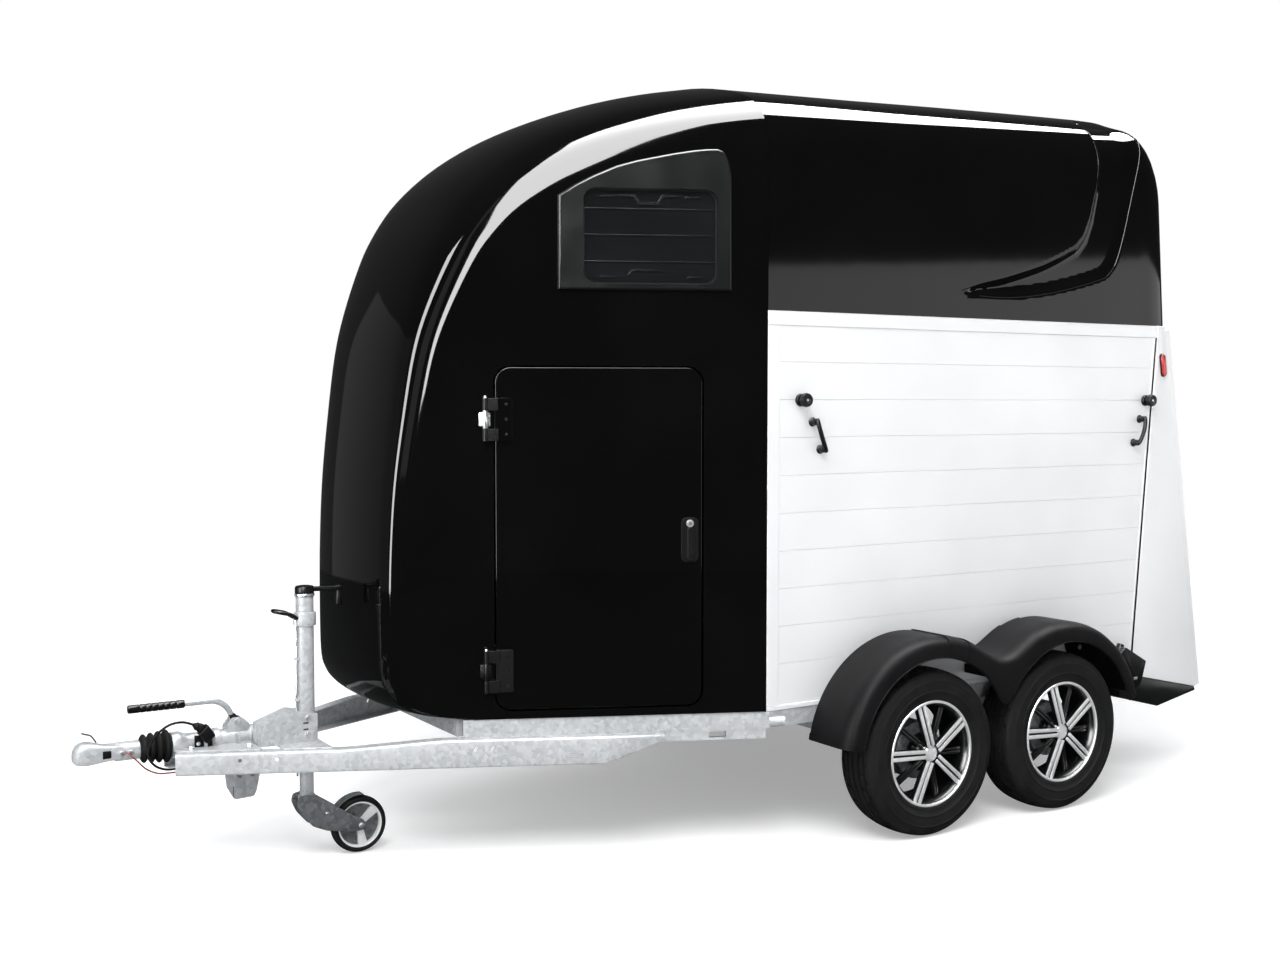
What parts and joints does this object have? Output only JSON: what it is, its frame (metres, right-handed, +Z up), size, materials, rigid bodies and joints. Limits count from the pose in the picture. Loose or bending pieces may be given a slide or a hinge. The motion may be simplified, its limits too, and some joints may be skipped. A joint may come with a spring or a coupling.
{
  "type": "horse trailer",
  "caption": "Horse trailer with a moulded black hood, aluminium plank walls, side doors, rear ramp, tandem axle and overrun coupling.",
  "frame": {"origin": "on the ground below the middle of the trailer's length and width", "axes": "+X forward to the coupling, +Y to the left, +Z up"},
  "size_m": [4.505, 2.206, 2.838],
  "materials": {
    "galvanised_steel": "hot-dip galvanised",
    "cast_steel": "zinc plated",
    "floor_ply": "resin coated plywood",
    "black_rubber": "matt",
    "coated_wire": "plastic coated",
    "matt_black_plastic": "matt",
    "tyre_rubber": "matt",
    "alloy_rim": "black with turned faces",
    "anodised_aluminium": "anodised",
    "gloss_hood": "polished",
    "tinted_glass": "tinted",
    "red_lens": "moulded lens",
    "padded_partition": "padded",
    "blind_fabric": "coated cloth"
  },
  "bodies": {
    "chassis": {"drawbar_left": "galvanised_steel", "drawbar_right": "galvanised_steel", "chassis_frame": "galvanised_steel", "front_axle": "galvanised_steel", "rear_axle": "galvanised_steel", "floor_board": "floor_ply", "overrun_housing": "galvanised_steel", "brake_rod": "galvanised_steel", "bellows": "black_rubber", "coupling_head": "cast_steel", "plug_holder": "matt_black_plastic", "light_cable": "black_rubber", "breakaway_cable": "coated_wire", "jockey_clamp": "galvanised_steel", "jockey_tube": "galvanised_steel", "fender_left": "matt_black_plastic", "fender_right": "matt_black_plastic", "wall_left": "anodised_aluminium", "wall_right": "anodised_aluminium", "rear_post_left": "anodised_aluminium", "rear_post_right": "anodised_aluminium", "front_hood": "gloss_hood", "roof_hood": "gloss_hood", "window_frames": "matt_black_plastic", "window_panes": "tinted_glass", "rear_bumper": "matt_black_plastic", "tail_lamps": "red_lens", "grab_fittings": "matt_black_plastic", "partition": "padded_partition", "rear_blind": "blind_fabric"},
    "wheel_front_left": {"tyre_front_left": "tyre_rubber", "rim_front_left": "alloy_rim"},
    "wheel_front_right": {"tyre_front_right": "tyre_rubber", "rim_front_right": "alloy_rim"},
    "wheel_rear_left": {"tyre_rear_left": "tyre_rubber", "rim_rear_left": "alloy_rim"},
    "wheel_rear_right": {"tyre_rear_right": "tyre_rubber", "rim_rear_right": "alloy_rim"},
    "door_left": {"door_left": "gloss_hood"},
    "door_right": {"door_right": "gloss_hood"},
    "ramp": {"ramp": "anodised_aluminium"},
    "handbrake": {"handbrake_lever": "matt_black_plastic"},
    "jockey_post": {"jockey_post": "galvanised_steel"},
    "jockey_fork": {"jockey_fork": "galvanised_steel"},
    "jockey_wheel": {"jockey_tyre": "tyre_rubber"}
  },
  "joints": [
    {"name": "wheel_front_left_spin", "type": "hinge", "parent": "chassis", "child": "wheel_front_left", "pos_m": [-0.5125, 0.985, 0.3075], "axis": [0, 1, 0], "continuous": true},
    {"name": "wheel_front_right_spin", "type": "hinge", "parent": "chassis", "child": "wheel_front_right", "pos_m": [-0.5125, -0.985, 0.3075], "axis": [0, 1, 0], "continuous": true},
    {"name": "wheel_rear_left_spin", "type": "hinge", "parent": "chassis", "child": "wheel_rear_left", "pos_m": [-1.1925, 0.985, 0.3075], "axis": [0, 1, 0], "continuous": true},
    {"name": "wheel_rear_right_spin", "type": "hinge", "parent": "chassis", "child": "wheel_rear_right", "pos_m": [-1.1925, -0.985, 0.3075], "axis": [0, 1, 0], "continuous": true},
    {"name": "door_left_hinge", "type": "hinge", "parent": "chassis", "child": "door_left", "pos_m": [1.00208, 0.50048, 1.1], "axis": [0, 0, -1], "range_deg": [0, 110]},
    {"name": "door_right_hinge", "type": "hinge", "parent": "chassis", "child": "door_right", "pos_m": [1.00208, -0.50048, 1.1], "axis": [0, 0, 1], "range_deg": [0, 110]},
    {"name": "ramp_hinge", "type": "hinge", "parent": "chassis", "child": "ramp", "pos_m": [-2.24065, 0, 0.35012], "axis": [0, -1, 0], "range_deg": [0, 110]},
    {"name": "handbrake_pivot", "type": "hinge", "parent": "chassis", "child": "handbrake", "pos_m": [1.7175, 0, 0.49], "axis": [0, -1, 0], "range_deg": [0, 60]},
    {"name": "jockey_slide", "type": "slide", "parent": "chassis", "child": "jockey_post", "axis": [0, 0, 1], "range_m": [0, 0.085]},
    {"name": "jockey_swivel", "type": "hinge", "parent": "jockey_post", "child": "jockey_fork", "pos_m": [1.5075, 0.12, 0.2], "axis": [0, 0, 1], "range_deg": [-30, 30]},
    {"name": "jockey_wheel_spin", "type": "hinge", "parent": "jockey_fork", "child": "jockey_wheel", "pos_m": [1.3225, 0.12, 0.1], "axis": [0, 1, 0], "continuous": true}
  ]
}
